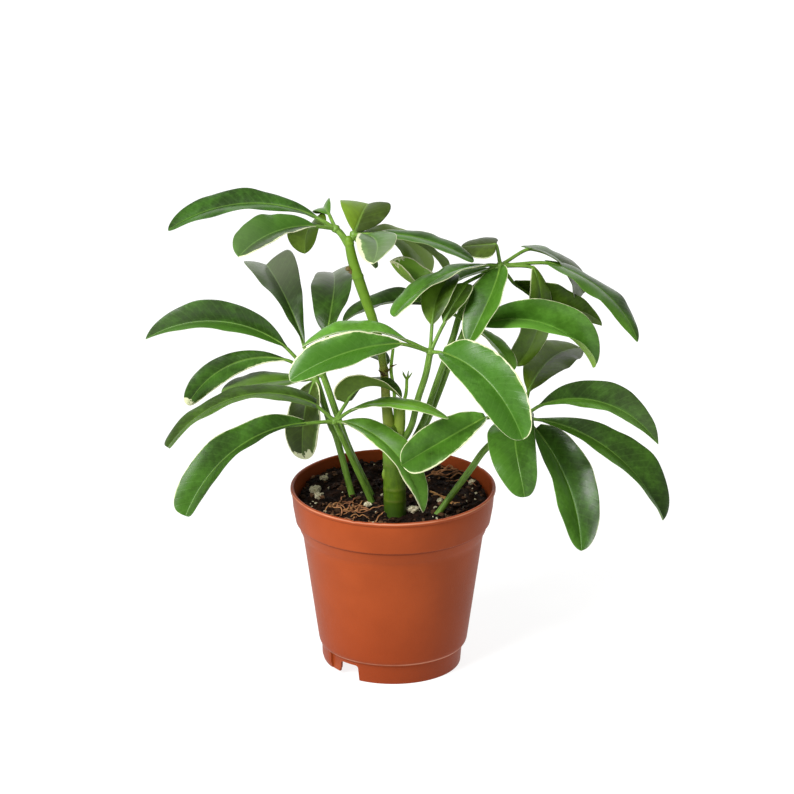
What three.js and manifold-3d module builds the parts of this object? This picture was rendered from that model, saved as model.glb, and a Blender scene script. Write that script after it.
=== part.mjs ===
// Potted umbrella plant: a young variegated dwarf schefflera in a 105 mm plastic nursery pot.
// Millimetres, +Z up. The foot of the pot stands on Z = 0, the plant's best side faces -Y.
import * as THREE from 'three';
import { mergeVertices } from 'three/addons/utils/BufferGeometryUtils.js';
import Module from 'manifold-3d';

const wasm = await Module();
wasm.setup();

// ---------------------------------------------------------------- driving dimensions
const RIM_RADIUS = 52.5;
const POT_HEIGHT = 95.5;
const COLLAR_EDGE = { r: 49.8, z: 77.5 };   // lower edge of the collar under the rim
const SHOULDER = { r: 46.1, z: 70.3 };      // where the collar's chamfer meets the body
const LEDGE = { r: 38.0, z: 13.2 };         // where the body starts to round in
const FOOT_TOP = { r: 35.4, z: 10.2 };      // where the foot ring comes out under the body
const FOOT_RADIUS = 34.6;
const LEG_RADIUS = 35.8;                    // the body reaches down beside the foot ring here
const LEGS = { under: 2.1, wide: 15.6, bearings: [196.5, 23.5] };
const LIFTS = [[202, 21.3], [23.5, 15.6]];  // bearing and width where the foot ring is shorter
const POT_WALL = 1.4;
const POT_FLOOR = { under: 9.4, top: 11.2 };
const FOOT_NOTCH = { wide: 11.5, high: 8.4, bearings: [230, 110, 50] };
const DRAIN_HOLE = { radius: 3.5, from_axis: 21 };

const SOIL_LEVEL = 87.5;                    // middle of the soil's surface
const SOIL_SLOPE = 0.075;                   // the soil lies higher at the back than at the front
const SOIL_LUMP = 0.9;

const GAP = 0.35;                           // air left between neighbouring pieces
const FINEST = 0.03;                        // details smaller than this are left out
const BLADE_THICK = 0.8;
const PETIOLE_RADIUS = 1.7;
const STALK_RADIUS = 1.05;                  // the short stalk of one leaflet
const HUB_RADIUS = 2.3;                     // knuckle that the leaflets of a leaf spread from
const BLADE_ROWS = 9;                       // stations along a leaflet
const BLADE_COLUMNS = [-1, 0, 1];

// ---------------------------------------------------------------- finishes
const finish = (color, roughness) =>
  new THREE.MeshStandardMaterial({ color, roughness, metalness: 0 });
const TERRACOTTA = finish(0xb85a32, 0.42);
const SOIL = finish(0x2b1c14, 0.95);
const PERLITE = finish(0xe2dcc8, 0.9);
const STEM_GREEN = finish(0x5e8c2a, 0.5);
const LEAF_GREEN = finish(0x2f7a2a, 0.35);

// ---------------------------------------------------------------- solids
const rad = THREE.MathUtils.degToRad;
const vec = (p) => new THREE.Vector3(...p);

// A closed three.js geometry as a solid that can be cut and joined.
function solid(geometry) {
  const loose = geometry.index ? geometry.toNonIndexed() : geometry;
  const bare = new THREE.BufferGeometry();
  bare.setAttribute('position', loose.getAttribute('position'));
  const merged = mergeVertices(bare, 1e-4);
  const corners = merged.index.array;
  const kept = [];
  for (let i = 0; i < corners.length; i += 3) {
    const [a, b, c] = corners.slice(i, i + 3);
    if (a !== b && b !== c && c !== a) kept.push(a, b, c);
  }
  return new wasm.Manifold(new wasm.Mesh({
    numProp: 3,
    vertProperties: merged.attributes.position.array,
    triVerts: new Uint32Array(kept),
  }));
}

// A solid closed by the given triangles.
function solidOf(points, triangles) {
  return new wasm.Manifold(new wasm.Mesh({
    numProp: 3,
    vertProperties: new Float32Array(points.flatMap((p) => [p.x, p.y, p.z])),
    triVerts: new Uint32Array(triangles.flat()),
  }));
}

// The mesh of a solid, keeping only its largest body.
function piece(name, made, material) {
  const [body] = made.decompose().sort((a, b) => b.volume() - a.volume());
  const cut = body.simplify(FINEST).getMesh();
  const geometry = new THREE.BufferGeometry();
  geometry.setAttribute('position', new THREE.BufferAttribute(cut.vertProperties, 3));
  geometry.setIndex(new THREE.BufferAttribute(cut.triVerts, 1));
  geometry.computeVertexNormals();
  const mesh = new THREE.Mesh(geometry, material);
  mesh.name = name;
  return mesh;
}

// A solid of revolution about Z from a profile of [radius, height], outer side going up.
function turned(profile, segments) {
  const lathe = new THREE.LatheGeometry(profile.map((p) => new THREE.Vector2(...p)), segments);
  return solid(lathe.rotateX(Math.PI / 2));
}

// A round stem along a smooth route. Each stop of the route is [x, y, z, radius].
function stem(route, { sides = 6, steps = 3, grow = 0 } = {}) {
  const spine = new THREE.CatmullRomCurve3(route.map((p) => vec(p.slice(0, 3))));
  const last = route.length - 1;
  const count = last * steps;
  const points = [];
  const triangles = [];
  const side = new THREE.Vector3(1, 0, 0);
  for (let i = 0; i <= count; i += 1) {
    const t = i / count;
    const along = spine.getTangent(t);
    const across = new THREE.Vector3().crossVectors(along, side).normalize();
    const up = new THREE.Vector3().crossVectors(along, across);
    const leg = Math.min(Math.floor(t * last), last - 1);
    const radius = THREE.MathUtils.lerp(route[leg][3], route[leg + 1][3], t * last - leg) + grow;
    const centre = spine.getPoint(t);
    if (i === 0) centre.addScaledVector(along, -grow);
    if (i === count) centre.addScaledVector(along, grow);
    for (let k = 0; k < sides; k += 1) {
      const turn = (2 * Math.PI * k) / sides;
      points.push(centre.clone()
        .addScaledVector(across, radius * Math.cos(turn))
        .addScaledVector(up, radius * Math.sin(turn)));
    }
  }
  for (let i = 0; i < count; i += 1) {
    for (let k = 0; k < sides; k += 1) {
      const a = i * sides + k;
      const b = i * sides + ((k + 1) % sides);
      triangles.push([a, b, b + sides], [a, b + sides, a + sides]);
    }
  }
  for (let k = 1; k < sides - 1; k += 1) {
    triangles.push([0, k + 1, k]);
    triangles.push([count * sides, count * sides + k, count * sides + k + 1]);
  }
  return solidOf(points, triangles);
}

function ball(centre, radius) {
  return solid(new THREE.IcosahedronGeometry(radius, 0).translate(...centre));
}

// ---------------------------------------------------------------- leaflets
// One leaflet: yaw and pitch it sets out along, length of its stalk, length of its blade,
// how far the blade droops and swings sideways over its length (degrees), full width,
// roll about its own midrib, how far each half is folded up from flat, how pointed the tip
// and the base are, how far the roll changes over the blade, and the elbow between stalk
// and blade. The last four may be left out.
const LEAFLET_FIELDS = [
  'yaw', 'pitch', 'stalk', 'length', 'droop', 'side', 'width', 'roll', 'fold',
  'tip', 'base', 'twist', 'elbow',
];
const USUAL = { tip: 0.45, base: 0.7, twist: 0, elbow: 0 };
const leafletOf = (row) => ({
  ...USUAL, ...Object.fromEntries(row.map((value, i) => [LEAFLET_FIELDS[i], value])),
});

// Direction of the midrib, direction across the blade and upward normal.
function bladeFrame(yaw, pitch, roll) {
  const along = new THREE.Vector3(
    Math.cos(pitch) * Math.cos(yaw), Math.cos(pitch) * Math.sin(yaw), Math.sin(pitch));
  const across = new THREE.Vector3(-Math.sin(yaw), Math.cos(yaw), 0).applyAxisAngle(along, roll);
  return { along, across, up: new THREE.Vector3().crossVectors(along, across) };
}

// Outline of a leaflet: half its width along the blade, 1 where it is broadest.
function outline(s, base, tip) {
  const broadest = base / (base + tip);
  return (s / broadest) ** base * ((1 - s) / (1 - broadest)) ** tip;
}

// The midrib from the hub to the tip, as frames at even steps of the blade.
function midrib(hub, leaf, steps) {
  const frameAt = (s) => bladeFrame(
    rad(leaf.yaw + leaf.side * s),
    rad(leaf.pitch + leaf.elbow - leaf.droop * s),
    rad(leaf.roll + leaf.twist * s));
  const stalkWay = bladeFrame(rad(leaf.yaw), rad(leaf.pitch), 0).along;
  const at = vec(hub).addScaledVector(stalkWay, leaf.stalk);
  const frames = [];
  for (let i = 0; i <= steps; i += 1) {
    frames.push({ s: i / steps, at: at.clone(), ...frameAt(i / steps) });
    at.addScaledVector(frameAt((i + 0.5) / steps).along, leaf.length / steps);
  }
  return frames;
}

// The blade: a thin folded sheet with a slightly waved margin, closed all round.
function blade(hub, leaf) {
  const columns = BLADE_COLUMNS.length;
  const tilt = rad(leaf.fold);
  const points = [];
  const triangles = [];
  for (const { s, at, across, up } of midrib(hub, leaf, BLADE_ROWS - 1)) {
    const inner = Math.min(Math.max(s, 0.02), 0.985);
    const half = (leaf.width / 2) * outline(inner, leaf.base, leaf.tip);
    const wave = 0.035 * leaf.width * Math.sin(5 * Math.PI * s + leaf.yaw) * Math.sin(Math.PI * s);
    for (const face of [1, -1]) {
      for (const t of BLADE_COLUMNS) {
        const edge = Math.abs(t);
        points.push(at.clone()
          .addScaledVector(across, half * t * Math.cos(tilt))
          .addScaledVector(up, half * edge * Math.sin(tilt) + wave * edge * edge
            + (face * BLADE_THICK) / 2));
      }
    }
  }
  const row = 2 * columns;
  for (let i = 0; i < BLADE_ROWS - 1; i += 1) {
    for (let j = 0; j < columns - 1; j += 1) {
      const top = i * row + j;
      const under = top + columns;
      triangles.push([top, top + row, top + row + 1], [top, top + row + 1, top + 1]);
      triangles.push([under, under + row + 1, under + row], [under, under + 1, under + row + 1]);
    }
    const left = i * row;
    const right = left + columns - 1;
    triangles.push([left, left + columns + row, left + row]);
    triangles.push([left, left + columns, left + columns + row]);
    triangles.push([right, right + row, right + columns + row]);
    triangles.push([right, right + columns + row, right + columns]);
  }
  const end = (BLADE_ROWS - 1) * row;
  for (let j = 0; j < columns - 1; j += 1) {
    triangles.push([j, j + 1, j + columns + 1], [j, j + columns + 1, j + columns]);
    const e = end + j;
    triangles.push([e, e + columns + 1, e + 1], [e, e + columns, e + columns + 1]);
  }
  return solidOf(points, triangles);
}

// The stalk of a leaflet, running on a little way into the root of the blade.
function stalk(hub, leaf) {
  const [base, inside] = midrib(hub, leaf, 12);
  return stem([
    [...hub, STALK_RADIUS],
    [...base.at.toArray(), STALK_RADIUS],
    [...inside.at.toArray(), STALK_RADIUS * 0.7],
  ], { sides: 5, steps: 1 });
}

// ---------------------------------------------------------------- the stem
// Each route is a list of [x, y, z, radius].
const TRUNK = [
  [1, -17, 68, 5.4], [1, -15.5, 90, 5.7], [0.5, -14, 112, 5.6], [0, -12.5, 127, 5.4], [0, -12.3, 131, 4],
];
const LEADER = [
  [-0.5, -13, 121, 3.2], [-2, -12, 133, 3.1], [-3.5, -11.5, 146, 2.5], [-4.5, -10, 161, 2.1],
  [-7, -8, 177, 2.2], [-10.5, -6, 189, 2.4], [-16.5, -3, 206, 2.8], [-20.5, -1.5, 219, 2.6],
  [-22.5, 0, 229, 2.2],
];
const SIDE_STEM = [[0.5, -13, 121, 3.4], [3, -12.5, 132, 3.1], [4, -13, 144, 2.3]];
const YOUNG_SHOOT = [[4, -13, 142, 1.1], [6.5, -14, 151, 0.9], [7, -14.5, 159.5, 0.8]];
const THIN_SHOOT = [[1.5, -12, 134, 1.1], [0.5, -12, 152, 0.9], [-1, -11.5, 163, 0.9], [0, -11, 174, 0.8]];
const CROWN = { spread: 2.6, rise: 3.2, radius: 0.45, count: 5 };
const SCARS = [[0.9, -15.8, 94], [0.8, -15.2, 100], [0.5, -14, 113]];   // old leaf scars on the trunk

function wholeStem(grow) {
  const shape = { sides: 10, steps: 2, grow };
  const slim = { sides: 6, steps: 2, grow };
  let made = stem(TRUNK, shape)
    .add(stem(LEADER, { ...shape, sides: 8 }))
    .add(stem(SIDE_STEM, shape))
    .add(stem(YOUNG_SHOOT, slim))
    .add(stem(THIN_SHOOT, slim));
  for (const [x, y, z] of SCARS) {
    const ring = stem([[x, y, z - 0.8, 5.6], [x, y, z, 5.95], [x, y, z + 0.8, 5.6]],
      { sides: 10, steps: 1, grow });
    made = made.add(ring);
  }
  const [x, y, z] = YOUNG_SHOOT[2];
  for (let i = 0; i < CROWN.count; i += 1) {
    const turn = (2 * Math.PI * i) / CROWN.count;
    made = made.add(stem([
      [x, y, z - 0.5, CROWN.radius],
      [x + CROWN.spread * Math.cos(turn), y + CROWN.spread * Math.sin(turn), z + CROWN.rise, 0.3],
    ], { sides: 5, steps: 1, grow }));
  }
  return made;
}

// ---------------------------------------------------------------- the leaves
// hub: where the leaflets meet. petiole: its route up to the hub. leaflets: see LEAFLET_FIELDS.
const LEAVES = {
  leaf_top_left: {
    hub: [-29, 2, 234.2],
    petiole: [[-22.5, -0.2, 226], [-26, 1, 231.5]],
    leaflets: [
      [170, 31, 9.5, 81, 60, 13, 20.5, -17, 16, 0.6, 1, 3, -7],
      [213, 17, 12.5, 55.5, 33, 25, 23, -20, 28, 0.5, 0.8, 9, -3],
      [128, -2, 8.7, 40.5, 79, -39, 20, -15, 20, 0.55],
      [109, 22, 10.8, 20.5, 77, -16, 11.5, -35, 23, 0.4, 0.75],
    ],
  },
  leaf_top: {
    hub: [-19.8, 2, 231],
    petiole: [[-22.3, 0, 227]],
    leaflets: [
      [83, 25, 4.7, 37.5, 70, 26, 13.5, 12, 29, 0.35, 0.5, 7, 1],
      [68, 42, 1.6, 25, 52, 9, 26.5, 38, 8, 0.25, 0.7, -43, 1],
      [1, 1, 12.4, 51, 35, -5, 14, 5, 6, 0.4, 0.45, 4],
      [301, 15, 10.9, 40, 38, -49, 21.5, -7, 18, 0.5, 0.65, 24, 2],
      [53, -8, 8.4, 65.5, 54, -9, 23, 30, -3, 0.15, 0.9, 39, -1],
      [32, -10, 13.1, 58.5, 47, 19, 14.5, 6, 18, 0.45, 0.7, 3],
      [321, -48, 3, 17.5, -4, 0, 14, -26, 10],
    ],
  },
  leaf_left_upper: {
    hub: [-39.7, 18, 146.9],
    petiole: [[-16, 0, 70], [-20, 3, 85], [-28.5, 9, 117], [-32, 11, 125], [-38, 16, 143.5]],
    leaflets: [
      [162, 45, 22, 77.5, 66, 18, 23, -46, 44, 0.85, 0.85, 10, -12],
      [180, 39, 15.2, 63, 74, 33, 13.5, -49, -10, 0.45, 1.05, -32, -20],
      [189, 1, 4.4, 44.5, 15, 4, 21.5, -7, 9, 0.6, 0.9, 4, 1],
      [120, 52, 16.8, 61.5, 52, -13, 29.5, 6, 30, 0.15, 1.15, -16, 2],
      [242, -36, 1.8, 41.5, 57, 25, 20.5, 11, 6, 0.45, 0.55, 13],
    ],
  },
  leaf_left_lower: {
    hub: [-29.5, -10, 134.7],
    petiole: [[-7, 3, 70], [-10.5, 1, 85], [-23.5, -5, 118.5]],
    leaflets: [
      [183, 43, 13.4, 86, 78, 27, 19, -15, 9, 0.15, 0.25, 32, -15],
      [200, 3, 16.2, 83.5, 61, 27, 23.5, -19, 35, 0.25, 0.5, 13, 1],
      [335, 60, 12.6, 37, 113, 3, 20, -39, 33, 0.6, 0.25, 34, 10],
      [329, 40, 13.1, 54.5, 56, 21, 10, 10, 6, 0.6, 0.6, 3, -10],
      [326, 6, 4.6, 68.5, 83, -2, 18.5, 15, 25, 0.75, 0.75, -8, -2],
    ],
  },
  leaf_centre: {
    hub: [18.8, -18, 175.4],
    petiole: [[2, -13, 121], [9, -14, 133], [12.5, -15.5, 148.5], [16.5, -17, 162.5]],
    leaflets: [
      [209, 25, 16.5, 64, 47, -20, 22, -48, 27, 0.55, 0.95, 19, -13],
      [186, 29, 13.8, 56, 66, -9, 18.5, -5, 16, 0.65, 0.8, 10],
      [320, 10, 8.2, 66, 65, -1, 29.5, 24, 32, 0.45, 0.45, 24, -10],
      [81, 67, 13.7, 32, 54, -39, 18, 0, 15],
      [40, 56, 16.2, 25, 35, 20, 14, 0, 15],
    ],
  },
  leaf_right_upper: {
    hub: [54.4, 12, 210.7],
    petiole: [
      [2.5, -12, 110], [10, -9, 123], [16, -7, 135], [21, -4, 149.5], [26, 0, 163],
      [30.5, 5, 174.6], [34.5, 9, 186.8], [42, 11, 199.7],
    ],
    leaflets: [
      [205, 13, 7.5, 58.5, 52, 3, 22, 5, 9, 0.3, 0.75, 10, -7],
      [190, -12, 6, 29, 24, -16, 14, 0, 15],
      [260, -27, 1.5, 45, 32, -44, 21.5, 28, 22, 0.5, 0.4, -41],
      [171, 80, 11.6, 18, -2, 12, 21.5, -10, -10, 0.55, 0.25, -2, -87],
      [34, 20, 17.4, 44, 57, -32, 23, -9, 2, 0.15, 0.25, 39, -34],
      [11, 1, 23.6, 66.5, 23, -80, 22.5, 1, -4, 0.8, 0.5, -20, -21],
      [3, -2, 16.5, 58, 63, -10, 21, 48, -10, 0.3, 0.7, -2, -65],
      [21, -55, 11.9, 54, -27, -22, 25.5, 65, 59, 0.65, 0.6, -59, 12],
      [171, -30, 23, 42.5, -90, 4, 22.5, -34, 48, 0.4, 0.95, 32, 2],
    ],
  },
  leaf_right_middle: {
    hub: [38.1, 2, 184],
    petiole: [
      [2, -9.5, 103], [7.5, -6, 112], [11.5, -4.5, 121], [18, -2.5, 133.5], [23.5, 0.5, 147],
      [28.8, 3, 161], [34.5, 3, 174.5],
    ],
    leaflets: [
      [355, -16, 6, 70.5, 93, 18, 31, 66, 56, 0.65, 0.7, -36, 40],
      [0, -40, 5.5, 29, 15, -19, 18, 0, 12],
      [163, 24, 8.5, 61, 65, 14, 20, -5, 20],
    ],
  },
  leaf_right_lower: {
    hub: [65.6, -8, 135.6],
    petiole: [[12, -18, 72], [22.5, -16, 86], [39, -13, 109], [48, -11, 121]],
    leaflets: [
      [18, 33, 10, 70, 69, -44, 23, 37, 35, 1, 1.05, -13, -16],
      [349, 4, 3.3, 90.5, 65, -9, 29, 44, 29, 0.6, 1.4, -47, -6],
      [321, -24, 9.3, 70.5, 13, -48, 31, 17, 42, 0.45, 0.45, -21, -14],
      [255, 3, 7, 49, 78, 46, 28, 19, 24, 0.45, 0.25, 17],
      [206, 11, 21.2, 53, -4, 13, 23, -25, 31, 0.25, 0.45, -38, -30],
      [73, 43, 15.5, 66, 38, -17, 22.5, 8, 8, 0.7, 0.8, 15, -23],
    ],
  },
  leaf_back: {
    hub: [-36.1, 13, 151.5],
    petiole: [[-5, 8, 70], [-10, 7, 85], [-22, 8, 112], [-28, 9, 129], [-34.5, 12, 148]],
    leaflets: [
      [75, 61, 21.2, 54, 73, 23, 23.5, -23, 19, 0.45, 0.55, 14, -7],
      [13, 48, 7, 33, 95, -31, 15, 5, 12],
      [79, 21, 5.5, 51, 84, 3, 17, 0, 12],
    ],
  },
};

const petioleOf = (leaf, grow = 0) =>
  stem([...leaf.petiole, leaf.hub].map((p) => [...p, PETIOLE_RADIUS]), { sides: 6, steps: 2, grow });

function wholeLeaf(leaf) {
  let made = petioleOf(leaf).add(ball(leaf.hub, HUB_RADIUS));
  for (const row of leaf.leaflets) {
    const one = leafletOf(row);
    made = made.add(stalk(leaf.hub, one)).add(blade(leaf.hub, one));
  }
  return made;
}

// ---------------------------------------------------------------- pot and soil
const slab = (bearing, wide, from, to, low, high) => solid(
  new THREE.BoxGeometry(to - from, wide, high - low)
    .translate((from + to) / 2, 0, (low + high) / 2)
    .rotateZ(rad(bearing)));

// The parts of the wall that reach down past the ledge, beside the foot ring.
function legs() {
  const ring = turned([
    [FOOT_RADIUS - POT_WALL, LEGS.under], [LEG_RADIUS, LEGS.under],
    [LEDGE.r - 1, LEDGE.z - 2.2], [LEDGE.r - 0.5, LEDGE.z - 1],
    [FOOT_TOP.r - POT_WALL, POT_FLOOR.top - 0.5], [FOOT_RADIUS - POT_WALL, LEGS.under],
  ], 40);
  const [left, right] = LEGS.bearings.map((bearing) => ring.intersect(
    slab(bearing, LEGS.wide, 28, 42, 0, 20)));
  return left.add(right);
}

function pot() {
  const shell = turned([
    [0, POT_FLOOR.under], [FOOT_TOP.r - POT_WALL - 0.2, POT_FLOOR.under],
    [FOOT_RADIUS - POT_WALL, 0], [FOOT_RADIUS - 0.5, 0], [FOOT_RADIUS, 0.6],
    [FOOT_TOP.r, FOOT_TOP.z], [LEDGE.r - 1.4, FOOT_TOP.z + 0.6],
    [LEDGE.r - 0.4, LEDGE.z - 1.2], [LEDGE.r + 0.1, LEDGE.z + 0.6],
    [SHOULDER.r - 0.1, SHOULDER.z - 0.4], [SHOULDER.r + 0.2, SHOULDER.z + 0.3],
    [COLLAR_EDGE.r - 0.5, COLLAR_EDGE.z - 0.7], [COLLAR_EDGE.r, COLLAR_EDGE.z],
    [RIM_RADIUS - 0.7, POT_HEIGHT - 2.5], [RIM_RADIUS, POT_HEIGHT - 1.8],
    [RIM_RADIUS, POT_HEIGHT - 0.6], [RIM_RADIUS - 0.5, POT_HEIGHT],
    [RIM_RADIUS - 1.5, POT_HEIGHT], [RIM_RADIUS - 2, POT_HEIGHT - 0.6],
    [COLLAR_EDGE.r - POT_WALL, COLLAR_EDGE.z],
    [SHOULDER.r - POT_WALL, SHOULDER.z],
    [LEDGE.r - POT_WALL, POT_FLOOR.top + 2], [LEDGE.r - POT_WALL - 1.5, POT_FLOOR.top],
    [0, POT_FLOOR.top],
  ], 40).add(legs());
  const cuts = FOOT_NOTCH.bearings.flatMap((bearing) => {
    const notch = slab(bearing, FOOT_NOTCH.wide, 27.7, 39.7, -8, FOOT_NOTCH.high);
    const drain = new THREE.CylinderGeometry(DRAIN_HOLE.radius, DRAIN_HOLE.radius, 8, 12)
      .rotateX(Math.PI / 2)
      .translate(DRAIN_HOLE.from_axis, 0, POT_FLOOR.top)
      .rotateZ(rad(bearing));
    return [notch, solid(drain)];
  });
  const lifts = LIFTS.map(([bearing, wide]) => slab(bearing, wide, 27.7, 39.7, -5, LEGS.under));
  return [...cuts, ...lifts].reduce((made, cut) => made.subtract(cut), shell);
}

const soilHeight = (x, y) => SOIL_LEVEL + SOIL_SLOPE * y
  + SOIL_LUMP * Math.sin(x * 0.31 + 1) * Math.cos(y * 0.27)
  + 0.5 * SOIL_LUMP * Math.sin(x * 0.7 - y * 0.53);

// The soil fills the pot; its surface is a ring of lumps, higher at the back.
function soil() {
  const top = SOIL_LEVEL - 3;
  const topRadius = THREE.MathUtils.mapLinear(
    top, COLLAR_EDGE.z, POT_HEIGHT - 0.6, COLLAR_EDGE.r - POT_WALL, RIM_RADIUS - 2) - GAP;
  const profile = [
    [0, POT_FLOOR.top + GAP], [LEDGE.r - POT_WALL - 1.5 - GAP, POT_FLOOR.top + GAP],
    [LEDGE.r - POT_WALL - GAP, POT_FLOOR.top + 2 + GAP],
    [SHOULDER.r - POT_WALL - GAP, SHOULDER.z + 0.2],
    [COLLAR_EDGE.r - POT_WALL - GAP, COLLAR_EDGE.z + 0.2],
    [topRadius, top],
    [topRadius - 0.4, top + 1.6],
  ];
  for (let ring = 5; ring >= 0; ring -= 1) profile.push([ring * 8.9, top + 3]);
  const geometry = new THREE.LatheGeometry(profile.map((p) => new THREE.Vector2(...p)), 32);
  geometry.rotateX(Math.PI / 2);
  const at = geometry.getAttribute('position');
  for (let i = 0; i < at.count; i += 1) {
    if (at.getZ(i) > top + 2) at.setZ(i, soilHeight(at.getX(i), at.getY(i)));
  }
  return solid(geometry);
}

// Lumps of perlite in the soil: [x, y, length, width, height, turn].
const PERLITE_LUMPS = [
  [9.8, -14.5, 6.4, 4.4, 4.2, 10],
  [-40, 12, 7.5, 5, 4.6, 60],
  [-35.5, 22, 4.4, 3.6, 3.2, 20],
  [-38.5, 2, 4.6, 3.8, 3.4, 110],
  [-13, -8, 3.8, 3, 2.8, 0],
  [40.5, 19, 4.2, 3.4, 3, 45],
  [24, -3, 3.8, 3, 2.8, 80],
];

function perliteLump([x, y, long, wide, high, turn], grow = 0) {
  const lump = new THREE.IcosahedronGeometry(1, 0)
    .scale(long / 2 + grow, wide / 2 + grow, high / 2 + grow)
    .rotateZ(rad(turn))
    .translate(x, y, soilHeight(x, y) + 0.8);
  return solid(lump);
}

// ---------------------------------------------------------------- the whole plant
const plant = new THREE.Group();
plant.name = 'potted_umbrella_plant';

const stemSolid = wholeStem(0);
const stemHole = wholeStem(GAP);
plant.add(piece('pot', pot(), TERRACOTTA));
plant.add(piece('stem', stemSolid, STEM_GREEN));

let bed = soil().subtract(stemHole);
for (const [name, leaf] of Object.entries(LEAVES)) {
  bed = bed.subtract(petioleOf(leaf, GAP));
  plant.add(piece(name, wholeLeaf(leaf).subtract(stemHole), LEAF_GREEN));
}
PERLITE_LUMPS.forEach((lump, i) => {
  bed = bed.subtract(perliteLump(lump, GAP));
  plant.add(piece(`perlite_${i + 1}`, perliteLump(lump), PERLITE));
});
plant.add(piece('soil', bed, SOIL));

// The origin lies under the middle of the whole plant, in the plane the pot stands on.
const extent = new THREE.Box3().setFromObject(plant);
const middle = extent.getCenter(new THREE.Vector3());
for (const mesh of plant.children) mesh.geometry.translate(-middle.x, -middle.y, -extent.min.z);

export default plant;
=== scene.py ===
"""The finished look of a potted umbrella plant: a young variegated dwarf schefflera in a nursery pot.

Every length below is in millimetres from the pot's axis and the plane it stands on; placed() turns
it into the frame's metres. Angles are in degrees.
"""

import math
import random

import bmesh
import bpy
import numpy as np
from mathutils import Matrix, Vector, noise


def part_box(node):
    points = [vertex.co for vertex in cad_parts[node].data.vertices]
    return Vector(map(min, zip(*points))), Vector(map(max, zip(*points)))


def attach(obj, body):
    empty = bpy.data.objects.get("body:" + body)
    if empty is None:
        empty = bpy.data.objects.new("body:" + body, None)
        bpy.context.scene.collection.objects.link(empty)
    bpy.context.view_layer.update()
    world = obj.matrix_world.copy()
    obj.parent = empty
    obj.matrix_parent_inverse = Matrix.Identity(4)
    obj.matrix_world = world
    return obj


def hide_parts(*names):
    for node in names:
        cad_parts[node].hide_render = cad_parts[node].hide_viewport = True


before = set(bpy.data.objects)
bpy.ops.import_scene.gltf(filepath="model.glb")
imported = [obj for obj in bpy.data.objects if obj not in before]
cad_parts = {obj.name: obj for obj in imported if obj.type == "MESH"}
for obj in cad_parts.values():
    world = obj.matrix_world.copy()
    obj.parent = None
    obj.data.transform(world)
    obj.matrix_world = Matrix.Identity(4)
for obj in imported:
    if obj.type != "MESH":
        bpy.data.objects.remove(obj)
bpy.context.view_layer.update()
pot_low, pot_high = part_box("pot")
AXIS = (pot_low + pot_high) / 2

# ------------------------ driving sizes, as in the solids
MM = 0.001
RIM_RADIUS = 52.5
POT_HEIGHT = 95.5
# Corners of the pot's outside, as (radius, height).
COLLAR_EDGE = (49.8, 77.5)
SHOULDER = (46.1, 70.3)
LEDGE = (38.0, 13.2)
FOOT_TOP = (35.4, 10.2)
FOOT_RADIUS = 34.6
LEG_RADIUS = 35.8
LEGS = {"under": 2.1, "bearings": (196.5, 23.5), "half_turn": 12.4}
LIFTS = ((202, 21.3), (23.5, 15.6))      # bearing and width of the gaps under the legs
POT_WALL = 1.4
POT_FLOOR = (9.4, 11.2)                  # its underside and its top
NOTCH = {"wide": 11.5, "high": 8.4, "bearings": (230, 110, 50)}
DRAIN = {"radius": 3.5, "from_axis": 21.0}
SOIL_LEVEL = 87.5
SOIL_SLOPE = 0.075
SOIL_LUMP = 0.9
GAP = 0.35
PETIOLE_RADIUS = 1.7
STALK_RADIUS = 1.05
HUB_RADIUS = 2.3
CHANCE = random.Random(7)


def placed(points):
    """Millimetres about the pot's axis, as metres in the frame."""
    return np.asarray(points, float) * MM + np.array([AXIS.x, AXIS.y, 0.0])


def colour(red, green, blue):
    """A screen colour (0 to 255) as linear light."""
    def linear(c):
        c = c / 255
        return c / 12.92 if c <= 0.04045 else ((c + 0.055) / 1.055) ** 2.4
    return (linear(red), linear(green), linear(blue), 1.0)


# ------------------------ meshes
class Shape:
    """Points, faces and named values at the points, gathered into one mesh."""

    def __init__(self):
        self.points, self.faces, self.slots, self.values = [], [], [], []

    def add(self, points, faces, slot=0, **values):
        start = len(self.points)
        self.points.extend(points)
        self.faces.extend(tuple(start + i for i in face) for face in faces)
        self.slots.extend([slot] * len(faces))
        columns = {key: np.broadcast_to(value, len(points)) for key, value in values.items()}
        self.values.extend({key: float(column[i]) for key, column in columns.items()}
                           for i in range(len(points)))

    def build(self, name, materials, sharp=180):
        mesh = bpy.data.meshes.new(name)
        mesh.from_pydata(placed(self.points).tolist(), [], self.faces)
        for material in materials:
            mesh.materials.append(material)
        mesh.polygons.foreach_set("material_index", self.slots)
        for key in sorted({key for row in self.values for key in row}):
            layer = mesh.attributes.new(key, "FLOAT", "POINT")
            layer.data.foreach_set("value", [row.get(key, 0.0) for row in self.values])
        made = bpy.data.objects.new(name, mesh)
        bpy.context.scene.collection.objects.link(made)
        outward(mesh)
        smooth(mesh, sharp)
        return made


def outward(mesh):
    """Turns every face to look out of its own closed shell."""
    work = bmesh.new()
    work.from_mesh(mesh)
    bmesh.ops.recalc_face_normals(work, faces=work.faces)
    work.to_mesh(mesh)
    work.free()


def smooth(mesh, sharp):
    """Smooth shading, with edges that turn more than so many degrees left sharp."""
    mesh.polygons.foreach_set("use_smooth", [True] * len(mesh.polygons))
    if sharp < 180:
        mesh.set_sharp_from_angle(angle=math.radians(sharp))


def seated(piece, slot, *nodes):
    """The piece rides on the plant's one body and stands for the CAD nodes it covers."""
    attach(piece, "root")
    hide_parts(*nodes)
    return piece


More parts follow.
